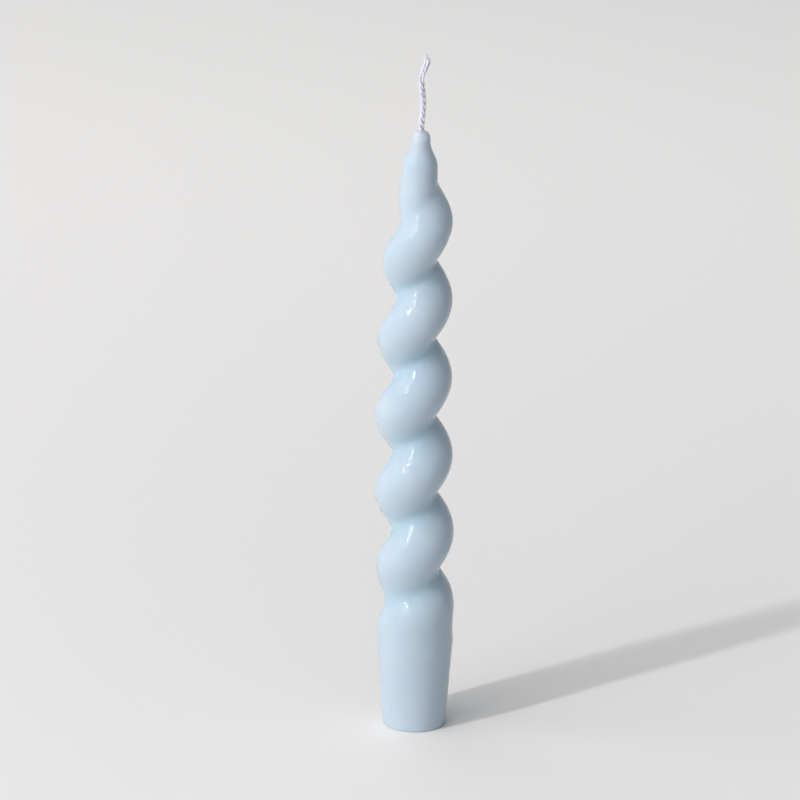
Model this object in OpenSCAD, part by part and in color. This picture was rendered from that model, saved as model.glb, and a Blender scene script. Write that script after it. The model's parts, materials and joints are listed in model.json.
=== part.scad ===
// Spiral taper candle: one casting of wax round a twisted cotton wick.
// Millimetres, +Z up. The origin is the centre of the foot's flat underside.

/* [Foot] */
// Diameter of the foot's lower end, which goes into a candlestick
foot_end_d = 22; // [18:0.1:26]
// Diameter of the foot where the spiral starts
foot_top_d = 26.4; // [22:0.1:32]
// Height of the plain foot
foot_h = 30; // [20:0.5:45]
// Rounding of the foot's lower edge
foot_edge_r = 0.8; // [0.2:0.1:2]

/* [Spiral] */
// Height of the spiral, from the foot to the shoulder below the nub
spiral_h = 171; // [90:1:260]
// Rise of the spiral in one turn
pitch = 27.7; // [20:0.1:40]
// Direction of the crest at the top of the foot, in degrees from +X
start_angle = 182; // [0:1:359]
// Diameter over the crest at half the spiral's height
crest_mid_d = 26.6; // [20:0.1:34]
// Diameter over the crest at the shoulder, before it dies out
crest_top_d = 21.3; // [15:0.1:30]
// Diameter of the core along the groove, drawn down to the foot
core_low_d = 17.2; // [10:0.1:20]
// Diameter of the core at the shoulder
core_top_d = 11.6; // [8:0.1:14]
// Height in which the groove deepens above the foot
run_in_h = 27.5; // [8:0.5:40]
// Length of rise in which the crest dies out
run_out_h = 12.7; // [8:0.1:30]
// Distance from the crest's end up to the shoulder
run_out_gap = 2.3; // [0:0.1:10]
// Exponent of the lobe's profile: a lower one gives a fuller lobe
lobe_power = 0.6; // [0.5:0.01:2]
// Softness of the groove's bottom: 0.1 is crisp, 0.5 is wide
groove_softness = 0.4; // [0.1:0.01:0.6]
// Softness of the groove's bottom by the shoulder, where the ridge runs out
tip_softness = 1; // [0.4:0.01:1.5]
// Sideways bow of the spiral between its two ends
bow = 1.5; // [0:0.1:3]

/* [Tip] */
// Height from the shoulder to the top of the nub
tip_h = 12.3; // [8:0.1:30]
// Diameter of the nub that the wick comes out of
nub_d = 6.4; // [4:0.1:8]
// Height of the nub's straight side, between the neck and the dome
nub_side_h = 0.8; // [0.2:0.1:4]
// Height of the nub's dome
dome_h = 3; // [1:0.1:4]

/* [Wick] */
// Diameter of one ply
ply_d = 0.9; // [0.5:0.05:1.2]
// Gap left between two plies
ply_gap = 0.06; // [0.02:0.01:0.1]
// Length of one full twist of the plies
lay = 6.5; // [5:0.1:12]
// Gap between the twisted plies and the channel in the wax
wick_gap = 0.05; // [0.02:0.01:0.2]
// Height of the wick above the nub
wick_out_h = 27; // [10:0.5:40]
// Distance from the foot's underside to the wick's cut end
wick_recess = 0.5; // [0.3:0.1:2]
// Length at the free end in which the plies come untwisted
open_h = 9.7; // [4:0.1:12]
// Twist left in the untwisted end, as a share of the full twist
open_twist = 0.1; // [0:0.05:1]
// How far the plies open at the free end
splay = 0.35; // [0:0.05:1]
// Length over which the plies open
splay_h = 7; // [2:0.5:10]

/* [Hidden] */

wax_colour = [0.73, 0.81, 0.88];
wick_colour = [0.93, 0.92, 0.96];

// Heights of the casting's stations
shoulder_z = foot_h + spiral_h;
wax_h = shoulder_z + tip_h;
dome_z = wax_h - dome_h;
neck_z = dome_z - nub_side_h;

// Points round the shaft and rings in one turn: equal, so that edges follow the groove
shaft_sides = 24;
ring_step = pitch / shaft_sides;
shaft_rings = ceil((dome_z - foot_h) / ring_step) - 1;
dome_rings = 5;
// The shaft starts inside the foot, this far down and in from its edge, and comes out through the
// foot's skirt, which runs up the bottom of the groove
shaft_sink = 1;
shaft_inset = 0.12;
skirt_h = 14;
skirt_steps = 7;
// How far the crest's end slants along the crest: 0 is level, 1 is straight across it
run_out_follow = 0.7;
// The groove's bottom softens over this height, which ends this far below the shoulder
soften_h = 20;
soften_gap = 12;
// Wax left round the wick on the flat top of the dome
rim_w = 0.2;
// How far the channel's cut runs past each end of the wax
cut_over = 1;

// The plies lie round the wick's axis, each touching its two neighbours but for the gap
plies = 3;
ply_sides = 6;
rings_per_lay = 8;
// Half the height over which a direction along the wick is taken
probe_h = 0.2;
lay_slope = PI * ply_d / lay;
orbit_r = (ply_d + ply_gap) / (2 * sin(180 / plies)) * sqrt(1 + lay_slope * lay_slope);
channel_d = 2 * orbit_r + ply_d + 2 * wick_gap;
wick_top_z = wax_h + wick_out_h;
// How much lower each ply is cut at the free end
ply_trim = [0, 0.7, 1.7];
// Bends of the free wick: share of its height, then offsets along X and Y
wick_bends = [[0, 0, 0], [0.35, 0.6, 0.3], [0.64, -0.1, -0.2], [0.95, 2.2, 0.4], [1, 2.1, 0.5]];

// General helpers
function share(t) = max(0, min(1, t));
function ease(t) = let (s = share(t)) s * s * (3 - 2 * s);
function mix(a, b, t) = a + (b - a) * t;
function parabola(a, mid, b, t) = a + (4 * mid - 3 * a - b) * t + 2 * (a + b - 2 * mid) * t * t;
function unit(v) = v / norm(v);

// Radius over the crest at height z
function crest_r(z) = parabola(foot_top_d, crest_mid_d, crest_top_d, share((z - foot_h) / spiral_h)) / 2;

// Radius at the bottom of the groove, which starts level with the crest at the foot
function groove_r(z) =
    let (line_r = mix(core_low_d, core_top_d, share((z - foot_h) / spiral_h)) / 2)
    mix(crest_r(z), line_r, ease((z - foot_h) / run_in_h));

// Radius of the dome at height z, a quarter ellipse down to the flat rim
function dome_r(z) =
    let (rim_r = channel_d / 2 + rim_w, t = share((z - dome_z) / dome_h))
    rim_r + (nub_d / 2 - rim_r) * sqrt(1 - t * t);

// Radius of the casting without its spiral ridge
function core_r(z) =
    z > dome_z ? dome_r(z) : mix(groove_r(z), nub_d / 2, ease((z - shoulder_z) / (neck_z - shoulder_z)));

// Softness of the groove's bottom at height z
function softness(z) =
    mix(groove_softness, tip_softness, ease((z - shoulder_z + soften_gap + soften_h) / soften_h));

// Height of the ridge across one turn: 1 on the crest, u = 0, and 0 in the groove, u = 0.5
function lobe(z, u) =
    let (c = cos(180 * u), soft = softness(z), floor_v = pow(soft, lobe_power))
    (pow(c * c + soft * soft, lobe_power / 2) - floor_v)
    / (pow(1 + soft * soft, lobe_power / 2) - floor_v);

// What is left of the ridge at height z, share u of a turn from its crest
function ridge_left(z, u) =
    let (crest_end_z = shoulder_z - run_out_gap - run_out_follow * u * pitch)
    1 - ease((z - crest_end_z + run_out_h) / run_out_h);

// How far the shaft has come out of the foot's skirt: 0 at the foot, 1 at the skirt's top
function emerged(z) = ease((z - foot_h) / skirt_h);

function shaft_r(z, u) =
    let (ridge = (crest_r(z) - groove_r(z)) * ridge_left(z, u) * lobe(z, u))
    core_r(z) + ridge - shaft_inset * (1 - emerged(z));

function skirt_r(z) = groove_r(z) - 2 * shaft_inset * emerged(z);

// Sideways place of the shaft's centre at height z
function bow_x(z) = -bow * pow(sin(180 * share((z - foot_h) / (wax_h - foot_h))), 2);

// One ring of the shaft: its points turn with the spiral, so u is the same up each column
function shaft_ring(z) = [
    for (j = [0:shaft_sides - 1])
        let (
            u = j / shaft_sides - 0.5,
            a = start_angle + 360 * ((z - foot_h) / pitch + u),
            r = shaft_r(z, u)
        )
        [bow_x(z) + r * cos(a), r * sin(a), z]
];

// Bend of the free wick along X (k = 1) or Y (k = 2) at share s of its height
function wick_bend(s, k) =
    let (
        i = [for (j = [0:len(wick_bends) - 2]) if (s <= wick_bends[j + 1][0]) j][0],
        a = wick_bends[i],
        b = wick_bends[i + 1]
    )
    mix(a[k], b[k], ease((s - a[0]) / (b[0] - a[0])));

function wick_axis(z) = let (s = share((z - wax_h) / wick_out_h)) [wick_bend(s, 1), wick_bend(s, 2), z];

function wick_along(z) = unit(wick_axis(z + probe_h) - wick_axis(z - probe_h));

// Turns of the plies from z = 0 up to height z
function wick_turns(z) = (z - (1 - open_twist) * max(0, z - wick_top_z + open_h)) / lay;

// Direction from the wick's axis to ply i, square to the wick; it turns the other way to the wax
function ply_side(i, z) =
    let (a = 360 * (i / plies - wick_turns(z)), along = wick_along(z), x = unit(cross([0, 1, 0], along)))
    cos(a) * x + sin(a) * cross(along, x);

function ply_centre(i, z) =
    wick_axis(z) + (orbit_r + splay * ease((z - wick_top_z + splay_h) / splay_h)) * ply_side(i, z);

// One ring of ply i, square to the way that the ply runs
function ply_ring(i, z) =
    let (
        along = unit(ply_centre(i, z + probe_h) - ply_centre(i, z - probe_h)),
        across = unit(cross(along, ply_side(i, z))),
        out = cross(across, along)
    )
    [
        for (j = [0:ply_sides - 1])
            let (a = 360 * j / ply_sides)
            ply_centre(i, z) + ply_d / 2 * (cos(a) * out + sin(a) * across)
    ];

// Closed skin over a stack of rings, each listed anticlockwise as seen from above
module skin(rings) {
    n = len(rings[0]);
    last = (len(rings) - 1) * n;
    sides = [
        for (i = [0:n:last - n], j = [0:n - 1])
            let (a = i + j, b = i + (j + 1) % n)
            each [[a, a + n, b], [b, a + n, b + n]]
    ];
    ends = [[for (j = [0:n - 1]) j], [for (j = [n - 1:-1:0]) last + j]];
    polyhedron([for (ring = rings) each ring], concat(sides, ends), convexity = 10);
}

// Plain tapered foot with a rounded lower edge and a skirt that closes over the start of the groove
module foot() {
    edge = [
        for (a = [-90:22.5:0])
            [foot_end_d / 2 - foot_edge_r * (1 - cos(a)), foot_edge_r * (1 + sin(a))]
    ];
    skirt = [for (i = [0:skirt_steps]) let (z = foot_h + skirt_h * i / skirt_steps) [skirt_r(z), z]];
    rotate_extrude($fn = 96)
        polygon(concat([[0, 0]], edge, skirt, [[0, foot_h + skirt_h]]));
}

// Spiral, neck and nub in one skin
module shaft() {
    straight = [for (i = [1:shaft_rings]) foot_h + i * ring_step];
    dome = [for (i = [0:dome_rings]) dome_z + dome_h * sin(90 * i / dome_rings)];
    skin([for (z = concat([foot_h - shaft_sink], straight, dome)) shaft_ring(z)]);
}

module wax_body() {
    color(wax_colour)
        difference() {
            union() {
                foot();
                shaft();
            }
            translate([0, 0, -cut_over])
                cylinder(d = channel_d, h = wax_h + 2 * cut_over, $fn = 48);
        }
}

module wick_ply(i) {
    top_z = wick_top_z - ply_trim[i];
    rings = ceil((top_z - wick_recess) / lay * rings_per_lay);
    color(wick_colour)
        skin([for (k = [0:rings]) ply_ring(i, mix(wick_recess, top_z, k / rings))]);
}

wax_body();
wick_ply(0);  // wick_ply_1
wick_ply(1);  // wick_ply_2
wick_ply(2);  // wick_ply_3
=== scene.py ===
"""Looks of a spiral taper candle: one pale blue wax casting round a twisted cotton wick.

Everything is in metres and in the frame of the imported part: +Z up, the origin at the centre of the
foot's underside, the viewer on the -Y side.
"""

import json
import logging
import math
from dataclasses import dataclass, field
from enum import Enum
from typing import Any, ClassVar, Dict, List, Optional, Tuple, Union

import bpy
from bpy.types import Material, Mesh, Node, NodeSocket, NodeTree, Object
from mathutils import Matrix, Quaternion, Vector

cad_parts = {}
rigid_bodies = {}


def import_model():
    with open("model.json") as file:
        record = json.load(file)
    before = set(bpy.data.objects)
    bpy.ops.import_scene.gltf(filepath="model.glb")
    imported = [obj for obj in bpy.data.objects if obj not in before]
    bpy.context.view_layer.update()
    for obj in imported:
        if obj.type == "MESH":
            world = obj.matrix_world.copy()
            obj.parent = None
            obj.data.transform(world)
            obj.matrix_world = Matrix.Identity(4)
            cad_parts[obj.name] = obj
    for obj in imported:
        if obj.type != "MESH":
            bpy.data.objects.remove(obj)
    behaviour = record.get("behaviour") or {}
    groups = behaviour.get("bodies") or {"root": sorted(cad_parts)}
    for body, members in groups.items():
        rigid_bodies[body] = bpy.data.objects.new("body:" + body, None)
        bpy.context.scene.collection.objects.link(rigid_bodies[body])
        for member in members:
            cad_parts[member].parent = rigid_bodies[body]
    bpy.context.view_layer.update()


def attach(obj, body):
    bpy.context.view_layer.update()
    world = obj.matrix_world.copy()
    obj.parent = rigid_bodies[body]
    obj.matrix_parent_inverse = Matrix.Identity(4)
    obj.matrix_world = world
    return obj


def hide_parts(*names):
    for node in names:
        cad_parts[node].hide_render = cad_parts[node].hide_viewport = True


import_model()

log = logging.getLogger("candle")

MM = 0.001
TURN = 2.0 * math.pi
Colour = Tuple[float, float, float]
Point = Tuple[float, float, float]
Ends = Tuple[float, float]
Rings = Tuple[Ends, ...]
Number = Union[float, "Field"]


class Hand(Enum):
    """Which way a helix turns as it rises."""

    RIGHT = 1
    LEFT = -1


class Flow:
    """A value that flows through a node tree."""

    def __init__(self, graph: "Graph", socket: NodeSocket) -> None:
        """Keeps the tree and the socket that the value comes out of."""
        self.graph = graph
        self.socket = socket


class Field(Flow):
    """A number that flows through a node tree, with the usual arithmetic."""

    def __add__(self, other: Number) -> "Field":
        """The sum."""
        return self.graph.math("ADD", self, other)

    def __sub__(self, other: Number) -> "Field":
        """The difference."""
        return self.graph.math("SUBTRACT", self, other)

    def __rsub__(self, other: float) -> "Field":
        """The difference from a plain number."""
        return self.graph.math("SUBTRACT", other, self)

    def __mul__(self, other: Number) -> "Field":
        """The product."""
        return self.graph.math("MULTIPLY", self, other)

    def __truediv__(self, other: Number) -> "Field":
        """The quotient."""
        return self.graph.math("DIVIDE", self, other)

    def __pow__(self, other: Number) -> "Field":
        """The power."""
        return self.graph.math("POWER", self, other)

    __radd__ = __add__
    __rmul__ = __mul__

    def share(self) -> "Field":
        """The number held between 0 and 1."""
        return self.graph.math("MULTIPLY", self, 1.0, clamp=True)

    def ease(self) -> "Field":
        """A soft step from 0 to 1."""
        s = self.share()
        return s * s * (3.0 - s * 2.0)

    def mix(self, other: "Field", t: "Field") -> "Field":
        """The blend from this number to another."""
        return self + (other - self) * t

    def sin(self) -> "Field":
        """The sine of an angle in radians."""
        return self.graph.math("SINE", self)

    def cos(self) -> "Field":
        """The cosine of an angle in radians."""
        return self.graph.math("COSINE", self)


class Arrow(Flow):
    """A vector that flows through a node tree."""

    def __add__(self, other: "Arrow") -> "Arrow":
        """The sum."""
        return self.graph.vector("ADD", self, other)

    def __mul__(self, by: Number) -> "Arrow":
        """The vector times a number."""
        return self.graph.vector("SCALE", self, Scale=by)

    def cross(self, other: "Arrow") -> "Arrow":
        """The cross product."""
        return self.graph.vector("CROSS_PRODUCT", self, other)

    def unit(self) -> "Arrow":
        """The same direction with length 1."""
        return self.graph.vector("NORMALIZE", self)

    def parts(self) -> Tuple[Field, Field, Field]:
        """The three components."""
        node = self.graph.node("ShaderNodeSeparateXYZ", Vector=self)
        return tuple(Field(self.graph, s) for s in node.outputs)


class Graph:
    """A node tree under construction, for a shape or for a finish."""

    # Nodes in a column, and the width and height that each has there.
    GRID: ClassVar[Tuple[int, float, float]] = (12, 220.0, 190.0)

    def __init__(self, tree: NodeTree) -> None:
        """Keeps the tree."""
        self.tree = tree

    def feed(self, socket: NodeSocket, value: Any) -> None:
        """Links a flowing value into a socket, or sets a plain one on it.

        Args:
            socket: The input to feed.
            value: A Field, an Arrow, an output socket or a plain value.
        """
        source = getattr(value, "socket", value)
        if isinstance(source, NodeSocket):
            self.tree.links.new(source, socket)
        else:
            socket.default_value = source

    def node(self, kind: str, settings: Optional[Dict[str, Any]] = None, **inputs: Any) -> Node:
        """Adds a node.

        Args:
            kind: The node's type.
            settings: Properties to set before its inputs.
            **inputs: Values for its inputs, by name, with _ for a space.

        Returns:
            The new node.
        """
        node = self.tree.nodes.new(kind)
        for name, value in (settings or {}).items():
            setattr(node, name, value)
        for name, value in inputs.items():
            label = name.replace("_", " ")
            self.feed(next(s for s in node.inputs if s.name == label and s.enabled), value)
        return node

    def math(self, operation: str, *values: Number, clamp: bool = False) -> Field:
        """Adds a sum on numbers.

        Args:
            operation: The kind of sum.
            *values: Its operands.
            clamp: Whether the result is held between 0 and 1.

        Returns:
            The result.
        """
        node = self.node("ShaderNodeMath", {"operation": operation, "use_clamp": clamp})
        for socket, value in zip(node.inputs, values):
            self.feed(socket, value)
        return Field(self, node.outputs[0])

    def vector(self, operation: str, *values: Any, **inputs: Number) -> Arrow:
        """Adds a sum on vectors.

        Args:
            operation: The kind of sum.
            *values: Its vector operands.
            **inputs: Its other inputs, by name.

        Returns:
            The result.
        """
        node = self.node("ShaderNodeVectorMath", {"operation": operation}, **inputs)
        for socket, value in zip(node.inputs, values):
            self.feed(socket, value)
        return Arrow(self, node.outputs[0])

    def combine(self, x: Number, y: Number, z: Number) -> Arrow:
        """The vector with these components."""
        return Arrow(self, self.node("ShaderNodeCombineXYZ", X=x, Y=y, Z=z).outputs[0])

    def seen(self) -> Field:
        """Tells what the camera sees from what only lights the scene.

        Returns:
            1 for rays from the camera, straight, by reflection or through glass, and else 0.
        """
        path = self.node("ShaderNodeLightPath")
        rays = (f"Is {kind} Ray" for kind in ("Camera", "Glossy", "Transmission"))
        straight, mirrored, through = (Field(self, path.outputs[ray]) for ray in rays)
        return (straight + mirrored + through).share()

    def arrange(self) -> None:
        """Lays the nodes out in columns, so that the tree can be read."""
        rows, across, down = self.GRID
        for i, node in enumerate(self.tree.nodes):
            node.location = (across * (i // rows), -down * (i % rows))


class ShapeTree(Graph):
    """A Geometry Nodes tree with named inputs for its sizes."""

    def __init__(self, name: str, counts: Tuple[str, ...] = ()) -> None:
        """Starts a tree that takes a geometry, a material and numbers, and gives a geometry.

        Args:
            name: The tree's name.
            counts: The names of inputs that are whole numbers.
        """
        super().__init__(bpy.data.node_groups.new(name, "GeometryNodeTree"))
        self.counts = counts
        self.numbers: Dict[str, Field] = {}
        self.ids: Dict[str, str] = {}
        self.entry = self.node("NodeGroupInput")
        self.exit = self.node("NodeGroupOutput")
        result = {"in_out": "OUTPUT", "socket_type": "NodeSocketGeometry"}
        self.tree.interface.new_socket("Geometry", **result)
        self.blank = self.take("Geometry", "NodeSocketGeometry")
        self.finish = self.take("Finish", "NodeSocketMaterial")

    def __getitem__(self, name: str) -> Field:
        """Gives a named number, which becomes an input of the tree when it is first asked for.

        Args:
            name: The input's name.

        Returns:
            The number.
        """
        if name not in self.numbers:
            kind = "NodeSocketInt" if name in self.counts else "NodeSocketFloat"
            self.numbers[name] = Field(self, self.take(name, kind))
        return self.numbers[name]

    def take(self, name: str, kind: str) -> NodeSocket:
        """Adds a named input.

        Args:
            name: The input's name.
            kind: The input's socket type.

        Returns:
            The socket that the input comes in by.
        """
        item = self.tree.interface.new_socket(name, in_out="INPUT", socket_type=kind)
        self.ids[name] = item.identifier
        return next(s for s in self.entry.outputs if s.identifier == item.identifier)

    def own(self, what: str) -> Arrow:
        """The Position, the Normal or the Tangent of each point."""
        return Arrow(self, self.node(f"GeometryNodeInput{what}").outputs[0])

    def noise(self, at: Arrow, scale: Number, detail: float = 0.0) -> Tuple[Field, Arrow]:
        """A smooth random pattern, sampled at a place, as a number and as a vector."""
        node = self.node("ShaderNodeTexNoise", Vector=at, Scale=scale, Detail=detail)
        return Field(self, node.outputs[0]), Arrow(self, node.outputs[1])

    def random(self, low: float, high: float, item: Any, seed: Number) -> Field:
        """A fixed random number for each item.

        Args:
            low: The least value.
            high: The greatest value.
            item: What tells the items apart.
            seed: The seed.

        Returns:
            The random number.
        """
        settings = {"data_type": "FLOAT"}
        node = self.node("FunctionNodeRandomValue", settings, Min=low, Max=high, ID=item, Seed=seed)
        return Field(self, next(s for s in node.outputs if s.enabled))

    def remember(self, geometry: Any, name: str, value: Field, domain: str = "POINT") -> NodeSocket:
        """Stores a number on the geometry under a name.

        Args:
            geometry: The geometry to store it on.
            name: The attribute's name.
            value: The number.
            domain: Where it is stored.

        Returns:
            The geometry with the attribute.
        """
        kind, settings = "GeometryNodeStoreNamedAttribute", {"data_type": "FLOAT", "domain": domain}
        return self.node(kind, settings, Geometry=geometry, Name=name, Value=value).outputs[0]

    def recall(self, name: str) -> Field:
        """A number that was stored under a name."""
        node = self.node("GeometryNodeInputNamedAttribute", {"data_type": "FLOAT"}, Name=name)
        return Field(self, next(s for s in node.outputs if s.enabled))

    def move(self, geometry: Any, **where: Arrow) -> NodeSocket:
        """Moves the points to a Position or by an Offset and gives the moved geometry."""
        return self.node("GeometryNodeSetPosition", Geometry=geometry, **where).outputs[0]

    def length(self) -> Field:
        """The length of each curve."""
        return Field(self, self.node("GeometryNodeSplineLength").outputs[0])

    def along(self, measure: str = "Factor") -> Field:
        """How far along its curve each point is, as a Factor from 0 to 1 or as a Length."""
        return Field(self, self.node("GeometryNodeSplineParameter").outputs[measure])

    def ring(self, sides: Field, radius: Field) -> NodeSocket:
        """A circle with a number of sides."""
        kind = "GeometryNodeCurvePrimitiveCircle"
        return self.node(kind, Resolution=sides, Radius=radius).outputs[0]

    def tube(self, curve: Any, ring: Any, scale: Field) -> NodeSocket:
        """Sweeps a ring along curves, scaled from point to point, and closes the ends."""
        section = {"Profile_Curve": ring, "Scale": scale, "Fill_Caps": True}
        return self.node("GeometryNodeCurveToMesh", Curve=curve, **section).outputs[0]

    def close(self, geometry: Any) -> None:
        """Ends the tree: smooth faces, real geometry, finish.

        Args:
            geometry: What the tree gives.
        """
        smooth = self.node("GeometryNodeSetShadeSmooth", Geometry=geometry).outputs[0]
        real = self.node("GeometryNodeRealizeInstances", Geometry=smooth).outputs[0]
        dressed = self.node("GeometryNodeSetMaterial", Geometry=real, Material=self.finish)
        self.tree.links.new(dressed.outputs[0], self.exit.inputs[0])
        self.arrange()

    def shape(self, name: str, blank: Mesh, values: Dict[str, Any]) -> Object:
        """Runs the tree on a blank and keeps the result as a plain mesh.

        Args:
            name: The new piece's name.
            blank: The mesh that goes into the tree.
            values: Values by name, among which are all the tree's inputs.

        Returns:
            The piece, linked to the scene, with no modifier.
        """
        piece = bpy.data.objects.new(name, blank)
        bpy.context.scene.collection.objects.link(piece)
        modifier = piece.modifiers.new(self.tree.name, "NODES")
        modifier.node_group = self.tree
        for label, identifier in self.ids.items():
            if label != "Geometry":
                modifier[identifier] = values[label]
        depsgraph = bpy.context.evaluated_depsgraph_get()
        made = bpy.data.meshes.new_from_object(
            piece.evaluated_get(depsgraph), preserve_all_data_layers=True, depsgraph=depsgraph
        )
        piece.modifiers.remove(modifier)
        made.materials.clear()
        made.materials.append(values["Finish"])
        made.polygons.foreach_set("material_index", [0] * len(made.polygons))
        piece.data = made
        bpy.data.meshes.remove(blank)
        made.name = name
        return piece


class Shader(Graph):
    """A surface finish under construction, round one Principled shader."""

    def __init__(self, name: str) -> None:
        """Starts a material with a Principled shader on Object coordinates."""
        self.material = bpy.data.materials.new(name)
        self.material.use_nodes = True
        super().__init__(self.material.node_tree)
        self.surface = next(n for n in self.tree.nodes if n.type == "BSDF_PRINCIPLED")
        self.place = Arrow(self, self.node("ShaderNodeTexCoord").outputs["Object"])

    def set(self, **inputs: Any) -> None:
        """Sets the Principled shader's inputs, by name, with _ for a space."""
        for name, value in inputs.items():
            self.feed(self.surface.inputs[name.replace("_", " ")], value)

    def recall(self, name: str) -> Field:
        """A number that the shape's tree stored under a name."""
        node = self.node("ShaderNodeAttribute", {"attribute_name": name})
        return Field(self, node.outputs["Fac"])

    def noise(self, at: Arrow, scale: float, detail: float = 2.0, roughness: float = 0.5) -> Field:
        """A smooth random pattern between 0 and 1."""
        grain = {"Scale": scale, "Detail": detail, "Roughness": roughness}
        return Field(self, self.node("ShaderNodeTexNoise", Vector=at, **grain).outputs["Fac"])

    def span(
        self, value: Field, low: float, high: float, to_low: float = 0.0, to_high: float = 1.0
    ) -> Field:
        """Stretches part of a range over another.

        Args:
            value: The number to stretch.
            low: Where the part starts.
            high: Where the part ends.
            to_low: The result at the start and before.
            to_high: The result at the end and after.

        Returns:
            The stretched number.
        """
        node = self.node("ShaderNodeMapRange", {"interpolation_type": "SMOOTHSTEP"}, Value=value)
        for socket, number in zip(list(node.inputs)[1:5], (low, high, to_low, to_high)):
            socket.default_value = number
        return Field(self, node.outputs[0])

    def blend(self, amount: Any, first: Any, second: Any) -> NodeSocket:
        """Blends two colours.

        Args:
            amount: The share of the second colour.
            first: The first colour, as three numbers or a socket.
            second: The second colour, likewise.

        Returns:
            The blended colour.
        """
        node = self.node("ShaderNodeMix", {"data_type": "RGBA"})
        shown = [s for s in node.inputs if s.enabled]
        for socket, value in zip(shown, (amount, first, second)):
            self.feed(socket, (*value, 1.0) if isinstance(value, tuple) else value)
        return next(s for s in node.outputs if s.enabled)

    def bump(
        self, height: Field, distance: float, strength: Number, under: Any = None
    ) -> NodeSocket:
        """Adds relief to the surface's normal.

        Args:
            height: The relief, from 0 to 1.
            distance: Its full height in metres.
            strength: How much of it shows.
            under: A normal with other relief that this one goes over.

        Returns:
            The normal.
        """
        node = self.node("ShaderNodeBump", Height=height, Distance=distance, Strength=strength)
        if under is not None:
            self.feed(node.inputs["Normal"], under)
        return node.outputs[0]


@dataclass(frozen=True)
class WaxFinish:
    """Pale blue dyed wax as it comes out of the mould, with a soft sheen and a few pin-holes.

    It clouds between a deep and a pale tone, has painted shade, a deeper teal, down in the
    grooves and painted shade in its pin-holes, lets light through where the nub is thin, and is
    scuffed on the upper flank of each turn, which breaks the glints there.
    """

    name: str = "pale_blue_wax"
    deep: Colour = (0.485, 0.579, 0.665)
    pale: Colour = (0.509, 0.600, 0.681)
    # Painted shade: a deeper teal laid into the grooves, where shade falls.
    painted_groove_shade: Colour = (0.432, 0.568, 0.672)
    thin: Colour = (0.505, 0.540, 0.612)
    # Painted shade: the dark colour inside the pin-holes.
    pit_shade: Colour = (0.130, 0.190, 0.250)
    pit_cells_per_m: float = 130.0
    pit_ends: Ends = (0.016, 0.030)
    pit_shade_share: float = 0.9
    pit_depth: float = 0.15 * MM
    pit_relief: float = 0.8
    scatter: Colour = (0.60, 0.95, 1.25)
    scatter_share: float = 1.0
    scatter_depth: float = 1.1 * MM
    thin_depth: float = 8.0 * MM
    thin_ends: Ends = (203.5 * MM, 208.5 * MM)
    rough: Ends = (0.10, 0.16)
    ior: float = 1.44
    mirror_level: float = 0.30
    clouds_per_m: float = 70.0
    cloud_ends: Ends = (0.36, 0.66)
    ripples_per_m: float = 420.0
    ripple_ends: Ends = (0.3, 0.7)
    ripple_depth: float = 0.008 * MM
    ripple_relief: float = 0.30
    grains_per_m: float = 800.0
    grain_depth: float = 0.160 * MM
    grain_relief: float = 0.02
    scuff_relief: float = 0.80

    def material(self) -> Material:
        """Builds the finish.

        Returns:
            The material.
        """
        shader = Shader(self.name)
        cloud = shader.noise(shader.place, self.clouds_per_m, 4.0, 0.55)
        ripple = shader.noise(shader.place, self.ripples_per_m, 3.0)
        grain = shader.noise(shader.place, self.grains_per_m)
        cells = shader.node("ShaderNodeTexVoronoi", Vector=shader.place, Scale=self.pit_cells_per_m)
        from_pit = Field(shader, cells.outputs["Distance"])
        hole = shader.span(from_pit, *self.pit_ends, 1.0, 0.0)
        tone = shader.blend(shader.span(cloud, *self.cloud_ends), self.deep, self.pale)
        # Painted shade: the grooves are tinted a deeper teal, by the mask that the shape stores.
        tone = shader.blend(shader.recall("painted_groove_shade"), tone, self.painted_groove_shade)
        height = shader.place.parts()[2]
        tone = shader.blend(shader.span(height, *self.thin_ends), tone, self.thin)
        # Painted shade inside the pin-holes; their real relief is the last bump below.
        tone = shader.blend(hole * self.pit_shade_share, tone, self.pit_shade)
        depth = shader.span(height, *self.thin_ends, self.scatter_depth, self.thin_depth)
        grainy = shader.recall("scuff") * self.scuff_relief + self.grain_relief
        relief = shader.bump(ripple, self.ripple_depth, self.ripple_relief)
        relief = shader.bump(grain, self.grain_depth, grainy, relief)
        relief = shader.bump(1.0 - hole, self.pit_depth, self.pit_relief, relief)
        shader.set(
            Base_Color=tone,
            Roughness=shader.span(ripple, *self.ripple_ends, *self.rough),
            Normal=relief,
            IOR=self.ior,
            Specular_IOR_Level=self.mirror_level,
            Subsurface_Weight=self.scatter_share,
            Subsurface_Radius=self.scatter,
            Subsurface_Scale=depth,
        )
        shader.arrange()
        return shader.material


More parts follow.
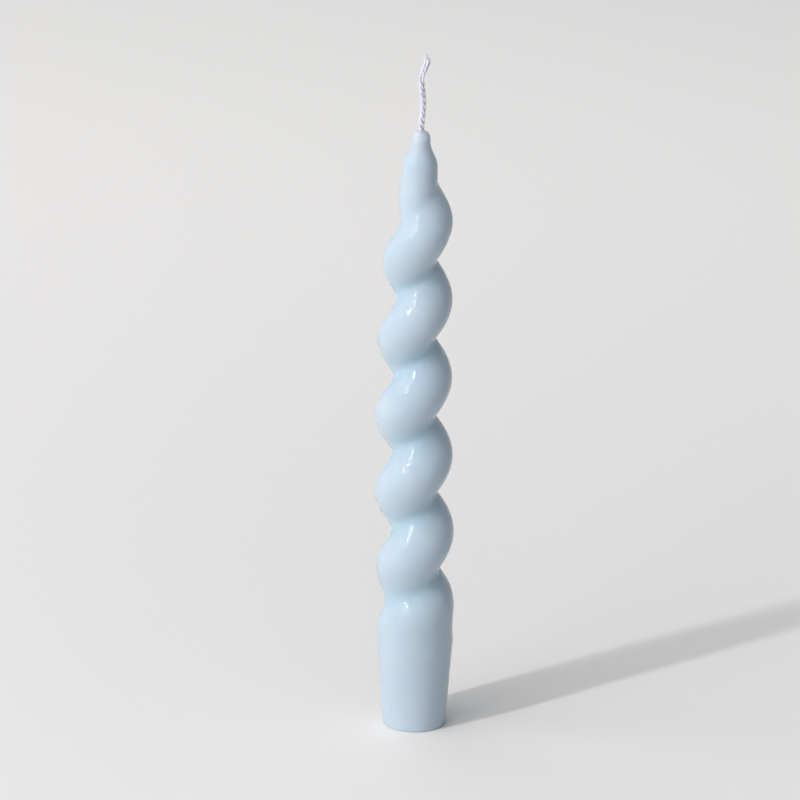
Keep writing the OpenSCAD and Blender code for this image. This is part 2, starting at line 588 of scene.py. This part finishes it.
@dataclass(frozen=True)
class CottonFinish:
    """White cotton yarn, stiff with wax, tinted by it where it leaves the candle."""

    name: str = "waxed_cotton"
    shade: Colour = (0.60, 0.58, 0.70)
    thread: Colour = (0.78, 0.76, 0.87)
    soaked: Colour = (0.70, 0.74, 0.85)
    soak_share: float = 0.75
    soak_ends: Ends = (213.6 * MM, 216.4 * MM)
    fibres_round: float = 9.0
    fibre_slant_per_m: float = 900.0
    fibres_per_m: float = 520.0
    yarn_offset: float = 7.0
    blotches_per_m: float = 500.0
    blotch_share: float = 0.3
    mottle_ends: Ends = (0.33, 0.58)
    fibre_ends: Ends = (0.3, 0.7)
    fibre_depth: float = 0.03 * MM
    fibre_relief: float = 0.5
    rough: Ends = (0.62, 0.85)
    sheen: float = 0.25
    sheen_rough: float = 0.5
    scatter: Colour = (1.0, 1.0, 1.0)
    scatter_share: float = 0.2
    scatter_depth: float = 0.5 * MM

    def material(self) -> Material:
        """Builds the finish.

        Returns:
            The material.
        """
        shader = Shader(self.name)
        along, around, yarn = (shader.recall(name) for name in ("along", "around", "yarn"))
        slant = around * self.fibres_round + along * self.fibre_slant_per_m
        strand = shader.combine(slant, along * self.fibres_per_m, yarn * self.yarn_offset)
        fibre = shader.noise(strand, 1.0, 3.0, 0.6)
        blotch = shader.noise(shader.place, self.blotches_per_m)
        mottle = fibre * (1.0 - self.blotch_share) + blotch * self.blotch_share
        tone = shader.blend(shader.span(mottle, *self.mottle_ends), self.shade, self.thread)
        height = shader.place.parts()[2]
        soaking = shader.span(height, *self.soak_ends, self.soak_share, 0.0)
        tone = shader.blend(soaking, tone, self.soaked)
        shader.set(
            Base_Color=tone,
            Roughness=shader.span(fibre, *self.fibre_ends, *self.rough),
            Normal=shader.bump(fibre, self.fibre_depth, self.fibre_relief),
            Sheen_Weight=self.sheen,
            Sheen_Roughness=self.sheen_rough,
            Subsurface_Weight=self.scatter_share,
            Subsurface_Radius=self.scatter,
            Subsurface_Scale=self.scatter_depth,
        )
        shader.arrange()
        return shader.material


@dataclass(frozen=True)
class FloorFinish:
    """Plain matt off-white studio floor, seen pale also far from the lamps."""

    name: str = "studio_floor"
    tone: Colour = (0.858, 0.830, 0.816)
    clean: Colour = (0.868, 0.840, 0.826)
    clouds_per_m: float = 1.5
    rough: float = 0.9
    mirror_level: float = 0.2
    lift: Colour = (1.0, 0.97, 0.94)
    lift_far: float = 0.15
    lift_ends: Ends = (-0.15, 0.95)

    def material(self) -> Material:
        """Builds the finish.

        Returns:
            The material.
        """
        shader = Shader(self.name)
        cloud = shader.noise(shader.place, self.clouds_per_m)
        x, y, _ = shader.place.parts()
        away = shader.math("SQRT", x * x + y * y)
        far = shader.span(away, *self.lift_ends, 0.0, self.lift_far)
        shader.set(
            Base_Color=shader.blend(cloud, self.tone, self.clean),
            Roughness=self.rough,
            Specular_IOR_Level=self.mirror_level,
            Emission_Color=(*self.lift, 1.0),
            Emission_Strength=far * shader.seen(),
        )
        shader.arrange()
        return shader.material


class SpiralTree(ShapeTree):
    """Winds the spiral on the casting's blank, with the casting's sizes as inputs."""

    def __init__(self) -> None:
        """Builds the tree."""
        super().__init__("wind_spiral_on_casting")
        self.close(self.uneven(self.wind()))

    def wind(self) -> NodeSocket:
        """Moves the blank's points to the spiral, marks painted groove shade and scuffed flanks.

        Returns:
            The casting with its spiral.
        """
        x, y, z = self.own("Position").parts()
        plain_r = self.math("SQRT", x * x + y * y)
        u = self.math("ARCTAN2", y, x) / TURN
        up, pitch = z - self["foot_h"], self["pitch"]
        shoulder_z = self["foot_h"] + self["spiral_h"]
        dome_z = shoulder_z + self["tip_h"] - self["dome_h"]
        t = (up / self["spiral_h"]).share()

        # The crest's radius is a parabola through its values at the bottom, the middle and the top.
        low, mid, top = (self[name] * 0.5 for name in ("foot_top_d", "crest_mid_d", "crest_top_d"))
        crest_r = low + (mid * 4.0 - low * 3.0 - top) * t + (low + top - mid * 2.0) * 2.0 * t * t
        core_r = (self["core_low_d"] * 0.5).mix(self["core_top_d"] * 0.5, t)
        run_in = (up / self["run_in_h"]).ease()
        groove_r = crest_r.mix(core_r, run_in)

        # Above the shoulder, the groove's surface narrows to the nub and rounds off on its dome.
        neck = ((z - shoulder_z) / (dome_z - self["nub_side_h"] - shoulder_z)).ease()
        dome_t = ((z - dome_z) / self["dome_h"]).share()
        round_off = 1.0 - self.math("SQRT", 1.0 - dome_t * dome_t)
        nub_r = self["nub_d"] * 0.5
        body_r = groove_r.mix(nub_r, neck) + (self["rim_r"] - nub_r) * round_off

        # The lobe is 1 on the crest and 0 in the groove. It softens and dies out towards the tip.
        soften_h = self["soften_h"]
        softened = ((z - shoulder_z + self["soften_gap"] + soften_h) / soften_h).ease()
        softness = self["groove_softness"].mix(self["tip_softness"], softened)
        soft, power = softness * softness, self["lobe_power"] * 0.5
        across = (u * math.pi).cos()
        least, most = soft**power, (soft + 1.0) ** power
        lobe = ((across * across + soft) ** power - least) / (most - least)
        crest_end_z = shoulder_z - self["run_out_gap"] - self["run_out_follow"] * u * pitch
        dying = ((z - crest_end_z + self["run_out_h"]) / self["run_out_h"]).ease()
        spiral_r = body_r + (crest_r - groove_r) * (1.0 - dying) * lobe

        follow = self.recall("spiral")
        r = plain_r.mix(spiral_r, follow)
        climb = self.math("MAXIMUM", up, 0.0)
        turn = (climb / pitch + u) * TURN * self["hand"] + self["start_angle"]
        bend = ((up / (self["spiral_h"] + self["tip_h"])).share() * math.pi).sin()
        past = ((u - self["scuff_end"] + self["scuff_fade"]) / self["scuff_fade"]).ease()
        scuff = ((u + 0.5) / self["scuff_rise"]).ease() * (1.0 - past) * follow
        # The mask of the painted groove shade: 1 down in the grooves, 0 on the crests, gone near the
        # tip.
        painted_groove_shade = (1.0 - lobe) ** 2.0 * (1.0 - softened) * run_in * follow
        marked = self.remember(self.remember(self.blank, "scuff", scuff), "painted_groove_shade", painted_groove_shade)
        place = self.combine(turn.cos() * r - self["bow"] * bend * bend, turn.sin() * r, z)
        return self.move(marked, Position=place)

    def uneven(self, wound: Any) -> NodeSocket:
        """Adds the slight unevenness of a real casting, clear of the flat underside.

        Args:
            wound: The casting with its spiral.

        Returns:
            The uneven casting.
        """
        spot, share = self.own("Position"), self["ripple_share"]
        swell = self.noise(spot, self["swells_per_m"], 1.0)[0]
        swell = swell + self.noise(spot, self["ripples_per_m"])[0] * share
        middle = share * 0.5 + 0.5
        clear = ((spot.parts()[2] - self["foot_edge_r"]) / self["foot_edge_r"]).share()
        rise = (swell - middle) * 2.0 * self["wobble"] * clear
        return self.move(wound, Offset=self.own("Normal") * rise)


@dataclass
class WaxCasting:
    """The casting: a plain tapered foot, the spiral shaft and the domed nub, in one skin."""

    foot_end_d: float = 22.0 * MM
    foot_top_d: float = 26.4 * MM
    foot_h: float = 30.0 * MM
    foot_edge_r: float = 0.8 * MM
    spiral_h: float = 171.0 * MM
    pitch: float = 27.7 * MM
    start_angle: float = math.radians(182.0)
    crest_mid_d: float = 26.6 * MM
    crest_top_d: float = 21.3 * MM
    core_low_d: float = 17.2 * MM
    core_top_d: float = 11.6 * MM
    run_in_h: float = 27.5 * MM
    run_out_h: float = 12.7 * MM
    run_out_gap: float = 2.3 * MM
    run_out_follow: float = 0.7
    lobe_power: float = 0.6
    groove_softness: float = 0.4
    tip_softness: float = 1.0
    soften_h: float = 20.0 * MM
    soften_gap: float = 12.0 * MM
    bow: float = 1.5 * MM
    tip_h: float = 12.3 * MM
    nub_d: float = 6.4 * MM
    nub_side_h: float = 0.8 * MM
    dome_h: float = 3.0 * MM
    rim_r: float = 1.3 * MM
    channel_r: float = 1.1 * MM
    wobble: float = 0.07 * MM
    swells_per_m: float = 85.0
    ripples_per_m: float = 310.0
    ripple_share: float = 0.25
    scuff_end: float = -0.08
    scuff_rise: float = 0.06
    scuff_fade: float = 0.14
    ring_step: float = 0.45 * MM
    sides: int = 128
    flat_rings: int = 10
    edge_rings: int = 8
    foot_rings: int = 40
    dome_rings: int = 14
    hand: Hand = Hand.RIGHT
    finish: WaxFinish = field(default_factory=WaxFinish)

    # Rings in mm, as radius and height: the shut end of the channel in the underside (radius as a
    # share of the channel's), the channel's rounded mouth (radius past the channel's) and the wax
    # that closes round the wick (height above the nub).
    CHANNEL_END: ClassVar[Rings] = (
        (0.0, 3.0), (0.6, 3.0), (1.0, 2.9), (1.0, 2.0), (1.0, 1.2), (1.0, 0.6), (1.0, 0.3),
    )
    CHANNEL_MOUTH: ClassVar[Rings] = ((0.04, 0.12), (0.12, 0.04), (0.3, 0.0))
    WICK_SEAT: ClassVar[Rings] = (
        (1.22, 0.03), (1.14, 0.07), (1.06, 0.12), (0.97, 0.16),
        (0.85, 0.18), (0.6, 0.2), (0.3, 0.2), (0.0, 0.2),
    )

    @property
    def height(self) -> float:
        """The height of the wax."""
        return self.foot_h + self.spiral_h + self.tip_h

    def profile(self) -> List[Point]:
        """The blank's turned profile, from the middle of the underside to the middle of the top.

        Returns:
            Radius, height and how far each ring follows the spiral's rule.
        """
        rows = [(self.channel_r * share, z * MM, 0.0) for share, z in self.CHANNEL_END]
        rows += [(self.channel_r + r * MM, z * MM, 0.0) for r, z in self.CHANNEL_MOUTH]
        end_r, edge_r = self.foot_end_d / 2, self.foot_edge_r
        mouth_r, flat_r = rows[-1][0], end_r - edge_r
        for i in range(self.flat_rings):
            rows.append((mouth_r + (flat_r - mouth_r) * (i + 1) / self.flat_rings, 0.0, 0.0))
        for i in range(self.edge_rings):
            a = math.pi / 2 * (i + 1) / self.edge_rings
            rows.append((flat_r + edge_r * math.sin(a), edge_r * (1 - math.cos(a)), 0.0))
        for i in range(1, self.foot_rings):
            t = i / self.foot_rings
            r = end_r + (self.foot_top_d - self.foot_end_d) / 2 * t
            rows.append((r, edge_r + (self.foot_h - edge_r) * t, 0.0))
        nub_r, dome_z = self.nub_d / 2, self.height - self.dome_h
        shaft_h = dome_z - self.foot_h
        rings = round(shaft_h / self.ring_step)
        rows += [(nub_r, self.foot_h + shaft_h * i / rings, 1.0) for i in range(rings)]
        arc = [math.sin(math.pi / 2 * i / self.dome_rings) for i in range(self.dome_rings + 1)]
        rows += [(nub_r, dome_z + self.dome_h * t, 1.0) for t in arc]
        rows += [(r * MM, self.height + z * MM, 0.0) for r, z in self.WICK_SEAT]
        return rows

    def blank(self) -> Mesh:
        """Turns the profile into a closed blank.

        Returns:
            The mesh, with how far each point follows the rule in the attribute "spiral".
        """
        rows, n = self.profile(), self.sides
        points, follow, faces = [(0.0, 0.0, rows[0][1])], [0.0], []
        for r, z, spiral in rows[1:-1]:
            angles = [TURN * (j / n - 0.5) for j in range(n)]
            points += [(r * math.cos(a), r * math.sin(a), z) for a in angles]
            follow += [spiral] * n
        points.append((0.0, 0.0, rows[-1][1]))
        follow.append(0.0)
        last, starts = len(points) - 1, range(1, len(points) - 1, n)
        for j in range(n):
            k = (j + 1) % n
            faces.append((0, 1 + k, 1 + j))
            faces += [(a + j, a + k, b + k, b + j) for a, b in zip(starts, starts[1:])]
            faces.append((last, starts[-1] + j, starts[-1] + k))
        mesh = bpy.data.meshes.new("wax_blank")
        mesh.from_pydata(points, [], faces)
        mesh.attributes.new("spiral", "FLOAT", "POINT").data.foreach_set("value", follow)
        return mesh

    def build(self) -> Object:
        """Makes and dresses the casting.

        Returns:
            The piece.
        """
        own = {"hand": float(self.hand.value), "Finish": self.finish.material()}
        return SpiralTree().shape("spiral_wax_casting", self.blank(), {**vars(self), **own})


class PlyTree(ShapeTree):
    """Lays a ply's yarns round the wick's middle line, with the wick's sizes as inputs."""

    # How far apart yarns lie in the pattern that they drift by (by yarn, by ply and at random),
    # the middle and the end of a loose fibre's bend as shares of its length, its tilt in radians,
    # and its least and greatest size.
    YARNS_APART: ClassVar[Point] = (5.3, 19.0, 3.0)
    HAIR_BEND: ClassVar[Tuple[Point, Point]] = ((0.0, 0.1, 0.55), (0.55, 0.2, 0.75))
    HAIR_TILT: ClassVar[Ends] = (-0.7, 0.7)
    HAIR_SIZES: ClassVar[Ends] = (0.35, 1.3)

    def __init__(self) -> None:
        """Builds the tree."""
        counts = ("yarns", "yarn_sides", "hair_sides", "hair_steps", "seed")
        super().__init__("lay_yarns_of_ply", counts)
        tubes = self.sweep(self.bundle(self.twist()))
        both = self.node("GeometryNodeJoinGeometry")
        for part in (self.fuzz(tubes), tubes):
            self.tree.links.new(part, both.inputs[0])
        self.close(both.outputs[0])

    def outward(self, angle: Field) -> Arrow:
        """A direction square to the curve in hand.

        Args:
            angle: The angle round the curve.

        Returns:
            The direction, with length 1.
        """
        along = self.own("Tangent")
        side = self.vector("CROSS_PRODUCT", (0.0, 1.0, 0.0), along).unit()
        return side * angle.cos() + along.cross(side) * angle.sin()

    def near_end(self, reach: str) -> Field:
        """A number that rises from 0 to 1 over a named length below the wick's free end."""
        return ((self.recall("rise") - self["top_z"] + self[reach]) / self[reach]).ease()

    def twist(self) -> NodeSocket:
        """Winds a ply's middle line round the wick's, with less twist at the open end.

        Returns:
            The ply's middle line, with the height along the wick in the attribute "rise".
        """
        line = self.node("GeometryNodeMeshToCurve", Mesh=self.blank).outputs[0]
        line = self.remember(line, "rise", self.own("Position").parts()[2])
        rise = self.recall("rise")
        opened = self.math("MAXIMUM", rise - self["top_z"] + self["open_h"], 0.0)
        turns = (rise - (1.0 - self["open_twist"]) * opened) / self["lay"]
        angle = (turns * self["hand"] + self["phase"]) * TURN
        reach = self["orbit_r"] + self["splay"] * self.near_end("splay_h")
        return self.move(line, Offset=self.outward(angle) * reach)

    def bundle(self, ply: Any) -> NodeSocket:
        """Lays the yarns round a ply's middle line, each with its own drift and cut end.

        Args:
            ply: The ply's middle line.

        Returns:
            The yarns' middle lines.
        """
        kind, settings = "GeometryNodeDuplicateElements", {"domain": "SPLINE"}
        copies = self.node(kind, settings, Geometry=ply, Amount=self["yarns"])
        lines = self.remember(copies.outputs[0], "yarn", Field(self, copies.outputs[1]), "CURVE")
        rise, number, phase = self.recall("rise"), self.recall("yarn"), self["phase"]
        own = self.random(0.0, 1.0, number, self["seed"])
        spin = (number / self["yarns"] + rise / self["yarn_lay"] + phase) * TURN
        tip = self.near_end("fray_h")
        ring_r = (self["ply_d"] * 0.5 - self["yarn_r"]) + self["fray"] * tip * own
        by_yarn, by_ply, by_chance = self.YARNS_APART
        apart = number * by_yarn + phase * by_ply
        drift = self.combine(rise * self["drifts_per_m"], apart, own * by_chance)
        stray = self.vector("SUBTRACT", self.noise(drift, 1.0, 1.0)[1], (0.5, 0.5, 0.5))
        stray = stray * (self["wander"] * (tip * self["tip_wander"] + 1.0))
        lines = self.move(lines, Offset=self.outward(spin) * ring_r + stray)
        lost = self.random(0.0, 1.0, number, self["seed"] + 1.0) * self["ragged"]
        cut = 1.0 - lost / self.length()
        return self.node("GeometryNodeTrimCurve", Curve=lines, End=cut).outputs[0]

    def sweep(self, lines: Any) -> NodeSocket:
        """Gives the yarns their round section, thinner at the cut end.

        Args:
            lines: The yarns' middle lines.

        Returns:
            The yarns.
        """
        gone = self.along("Length")
        lines = self.remember(lines, "along", gone)
        full = ((self.length() - gone) / self["taper_h"]).share()
        ring = self.remember(self.ring(self["yarn_sides"], self["yarn_r"]), "around", self.along())
        return self.tube(lines, ring, full * (1.0 - self["end_share"]) + self["end_share"])

    def fibre(self) -> NodeSocket:
        """Makes one loose fibre, a short bent hair that thins out.

        Returns:
            The fibre.
        """
        bent = self.node("GeometryNodeCurveQuadraticBezier", Resolution=self["hair_steps"])
        self.feed(bent.inputs["Start"], (0.0, 0.0, 0.0))
        for name, shares in zip(("Middle", "End"), self.HAIR_BEND):
            self.feed(bent.inputs[name], self.combine(*(self["hair"] * share for share in shares)))
        fine = 1.0 - self.along() * self["hair_thinning"]
        return self.tube(bent.outputs[0], self.ring(self["hair_sides"], self["hair_r"]), fine)

    def fuzz(self, tubes: Any) -> NodeSocket:
        """Scatters loose fibres over the yarns outside the wax.

        Args:
            tubes: The yarns.

        Returns:
            The fibres.
        """
        height = self.own("Position").parts()[2]
        roots = self.node(
            "GeometryNodeDistributePointsOnFaces",
            Mesh=tubes,
            Selection=self.math("GREATER_THAN", height, self["wax_h"] + self["hairs_above"]),
            Density=self["hairs_per_m2"],
            Seed=self["seed"],
        )
        index = self.node("GeometryNodeInputIndex").outputs[0]
        ranges = (self.HAIR_TILT, self.HAIR_TILT, (0.0, TURN), self.HAIR_SIZES)
        *tilts, size = [
            self.random(low, high, index, self["seed"] + float(step))
            for step, (low, high) in enumerate(ranges, 2)
        ]
        tilt = self.node("FunctionNodeEulerToRotation", Euler=self.combine(*tilts)).outputs[0]
        kind, settings = "FunctionNodeRotateRotation", {"rotation_space": "LOCAL"}
        upright = roots.outputs["Rotation"]
        turned = self.node(kind, settings, Rotation=upright, Rotate_By=tilt).outputs[0]
        where = {"Points": roots.outputs["Points"], "Rotation": turned, "Scale": size}
        kind = "GeometryNodeInstanceOnPoints"
        return self.node(kind, Instance=self.fibre(), **where).outputs[0]


@dataclass
class CottonWick:
    """The wick: three cotton plies, each a bundle of yarns, twisted together, open at the top."""

    wax_h: float = 213.3 * MM
    out_h: float = 27.0 * MM
    recess: float = 0.5 * MM
    ply_d: float = 0.9 * MM
    ply_gap: float = 0.06 * MM
    lay: float = 6.5 * MM
    open_h: float = 9.7 * MM
    open_twist: float = 0.1
    splay: float = 0.35 * MM
    splay_h: float = 7.0 * MM
    yarns: int = 6
    yarn_r: float = 0.175 * MM
    yarn_sides: int = 7
    yarn_lay: float = 16.0 * MM
    drifts_per_m: float = 420.0
    wander: float = 0.10 * MM
    tip_wander: float = 3.0
    fray: float = 0.30 * MM
    fray_h: float = 4.5 * MM
    ragged: float = 2.0 * MM
    taper_h: float = 1.6 * MM
    end_share: float = 0.3
    hair: float = 0.9 * MM
    hair_r: float = 0.010 * MM
    hair_sides: int = 3
    hair_steps: int = 5
    hair_thinning: float = 0.8
    hairs_per_m2: float = 9.0e5
    hairs_above: float = 0.8 * MM
    hidden_step: float = 0.5 * MM
    shown_step: float = 0.13 * MM
    shown_margin: float = 1.0 * MM
    seed: int = 11
    seed_step: int = 10
    hand: Hand = Hand.LEFT
    trims: Tuple[float, float, float] = (0.0, 0.7 * MM, 1.7 * MM)
    bends: Tuple[Point, ...] = (
        (0.0, 0.0, 0.0),
        (0.35, 0.6 * MM, 0.3 * MM),
        (0.64, -0.1 * MM, -0.2 * MM),
        (0.95, 2.2 * MM, 0.4 * MM),
        (1.0, 2.1 * MM, 0.5 * MM),
    )
    finish: CottonFinish = field(default_factory=CottonFinish)

    @property
    def top_z(self) -> float:
        """The height of the longest ply's end."""
        return self.wax_h + self.out_h

    @property
    def orbit_r(self) -> float:
        """The distance from the wick's axis to the middle of a ply.

        Returns:
            The distance, with the plies' slope allowed for.
        """
        slope = math.pi * self.ply_d / self.lay
        level_r = (self.ply_d + self.ply_gap) / (2 * math.sin(math.pi / len(self.trims)))
        return level_r * math.sqrt(1 + slope * slope)

    def axis(self, z: float) -> Point:
        """The wick's middle at a height.

        Args:
            z: The height.

        Returns:
            The point.
        """
        s = min(1.0, max(0.0, (z - self.wax_h) / self.out_h))
        a, b = next(p for p in zip(self.bends, self.bends[1:]) if s <= p[1][0])
        t = (s - a[0]) / (b[0] - a[0])
        t = t * t * (3 - 2 * t)
        return (a[1] + (b[1] - a[1]) * t, a[2] + (b[2] - a[2]) * t, z)

    def line(self, end_z: float) -> Mesh:
        """Draws the wick's middle line, in short steps where it shows.

        Args:
            end_z: The height at which the ply ends.

        Returns:
            A mesh of edges.
        """
        shown_z = self.wax_h - self.shown_margin
        hidden = round((shown_z - self.recess) / self.hidden_step)
        shown = round((end_z - shown_z) / self.shown_step)
        heights = [self.recess + (shown_z - self.recess) * i / hidden for i in range(hidden)]
        heights += [shown_z + (end_z - shown_z) * i / shown for i in range(shown + 1)]
        edges = [(i, i + 1) for i in range(len(heights) - 1)]
        mesh = bpy.data.meshes.new("wick_line")
        mesh.from_pydata([self.axis(z) for z in heights], edges, [])
        return mesh

    def build(self) -> List[Object]:
        """Makes and dresses the three plies.

        Returns:
            The pieces, in the order of their CAD nodes.
        """
        tree = PlyTree()
        shared = {**vars(self), "orbit_r": self.orbit_r, "top_z": self.top_z}
        shared.update({"hand": float(self.hand.value), "Finish": self.finish.material()})
        plies = []
        for i, trim in enumerate(self.trims):
            own = {"phase": i / len(self.trims), "seed": self.seed + self.seed_step * i}
            line = self.line(self.top_z - trim)
            plies.append(tree.shape(f"cotton_ply_{i + 1}", line, {**shared, **own}))
        return plies


@dataclass(frozen=True)
class Lamp:
    """One oval studio lamp, aimed at the candle.

    Its angles are in degrees as seen from the candle, with azimuth 0 on the viewer's side and the
    right positive. A lamp that isn't mirrored lights the wax but makes no glint on it.
    """

    name: str
    azimuth: float
    elevation: float
    width: float
    height: float
    power: float
    colour: Colour = (1.0, 1.0, 1.0)
    mirrored: bool = True
    distance: float = 3.3
    aim: Point = (0.0, 0.0, 0.11)

    def place(self) -> None:
        """Puts the lamp in the scene."""
        data = bpy.data.lights.new(self.name, "AREA")
        data.shape, data.size, data.size_y = "ELLIPSE", self.width, self.height
        data.energy, data.color = self.power, self.colour
        lamp = bpy.data.objects.new(self.name, data)
        lamp.visible_glossy = self.mirrored
        bpy.context.scene.collection.objects.link(lamp)
        turn, rise = math.radians(self.azimuth), math.radians(self.elevation)
        flat = math.cos(rise)
        back = Vector((math.sin(turn) * flat, -math.cos(turn) * flat, math.sin(rise)))
        lamp.location = Vector(self.aim) + back * self.distance
        lamp.rotation_euler = (-back).to_track_quat("-Z", "Y").to_euler()


@dataclass
class Studio:
    """Floor, lamps, surroundings and camera."""

    floor_r: float = 4.0
    floor_sides: int = 64
    ambient: float = 0.165
    sky: Colour = (0.88, 1.0, 1.06)
    backdrop: Colour = (0.68, 0.68, 0.68)
    view_elevation: float = math.radians(17.5)
    view_distance: float = 1.4825
    view_roll: float = 0.0111
    view_target: Point = (-0.00615, 0.0, 0.11827)
    focal_px: float = 4320.0
    image_px: float = 800.0
    sensor: float = 36.0
    floor_finish: FloorFinish = field(default_factory=FloorFinish)
    lamps: Tuple[Lamp, ...] = (
        Lamp("key_lamp", -52.0, 39.0, 0.10, 1.80, 36.0),
        Lamp("window_front", -45.0, 15.0, 2.4, 1.5, 53.0, (1.02, 1.0, 0.985), mirrored=False),
        Lamp("window_left", -80.0, 42.0, 2.4, 2.4, 21.0),
        Lamp("window_back", -150.0, 50.0, 2.4, 2.4, 13.5),
        Lamp("window_high", -10.0, 42.0, 1.5, 0.9, 6.5, (0.94, 0.92, 1.0)),
        Lamp("overhead", -20.0, 85.0, 2.4, 2.4, 18.0),
        Lamp("front_fill", 20.0, 20.0, 2.4, 2.0, 3.0, (0.86, 1.0, 1.06)),
    )

    def floor(self) -> Object:
        """Lays the floor and dresses it.

        Returns:
            The floor.
        """
        angles = [TURN * i / self.floor_sides for i in range(self.floor_sides)]
        points = [(self.floor_r * math.cos(a), self.floor_r * math.sin(a), 0.0) for a in angles]
        mesh = bpy.data.meshes.new("studio_floor")
        mesh.from_pydata(points, [], [tuple(range(self.floor_sides))])
        mesh.materials.append(self.floor_finish.material())
        floor = bpy.data.objects.new("studio_floor", mesh)
        bpy.context.scene.collection.objects.link(floor)
        return floor

    def surroundings(self) -> None:
        """Sets an even soft light from all round, with a pale backdrop past the floor."""
        world = bpy.data.worlds.new("studio")
        world.use_nodes = True
        bpy.context.scene.world = world
        graph = Graph(world.node_tree)
        world.node_tree.nodes.clear()
        light = graph.node("ShaderNodeBackground", Color=(*self.sky, 1.0), Strength=self.ambient)
        shown = graph.node("ShaderNodeBackground", Color=(*self.backdrop, 1.0))
        choice = graph.node("ShaderNodeMixShader", Fac=graph.seen())
        for socket, node in zip(list(choice.inputs)[1:], (light, shown)):
            graph.feed(socket, node.outputs[0])
        end = graph.node("ShaderNodeOutputWorld")
        graph.feed(end.inputs["Surface"], choice.outputs[0])
        graph.arrange()

    def camera(self) -> None:
        """Puts the camera where the photograph was taken from."""
        data = bpy.data.cameras.new("camera")
        data.sensor_width = self.sensor
        data.lens = self.focal_px / self.image_px * self.sensor
        camera = bpy.data.objects.new("camera", data)
        bpy.context.scene.collection.objects.link(camera)
        back = Vector((0.0, -math.cos(self.view_elevation), math.sin(self.view_elevation)))
        camera.location = Vector(self.view_target) + back * self.view_distance
        camera.rotation_mode = "QUATERNION"
        level = (-back).to_track_quat("-Z", "Y")
        camera.rotation_quaternion = level @ Quaternion((0.0, 0.0, 1.0), self.view_roll)
        bpy.context.scene.camera = camera

    def build(self) -> Object:
        """Sets up the studio.

        Returns:
            The floor, which isn't part of the candle.
        """
        self.surroundings()
        self.camera()
        for lamp in self.lamps:
            lamp.place()
        return self.floor()


def report(piece: Object) -> None:
    """Logs a finished piece's name and size.

    Args:
        piece: The piece.
    """
    triangles = sum(len(p.vertices) - 2 for p in piece.data.polygons)
    size = " x ".join(f"{d / MM:.1f}" for d in piece.dimensions)
    finishes = ", ".join(m.name for m in piece.data.materials)
    log.info("%s: %d triangles, %s mm, %s", piece.name, triangles, size, finishes)


def main() -> None:
    """Builds the studio and the candle, and ties each piece to its CAD node."""
    logging.basicConfig(level=logging.INFO, format="%(name)s: %(message)s")
    bpy.context.scene.view_settings.view_transform = "Standard"
    Studio().build()
    pieces = [(WaxCasting().build(), "wax_body", "wax")]
    plies = CottonWick().build()
    pieces += [(ply, f"wick_ply_{i}", "cotton_wick") for i, ply in enumerate(plies, 1)]
    for piece, node, slot in pieces:
        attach(piece, "root")
        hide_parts(node)
        report(piece)


if __name__ == "__main__":
    main()
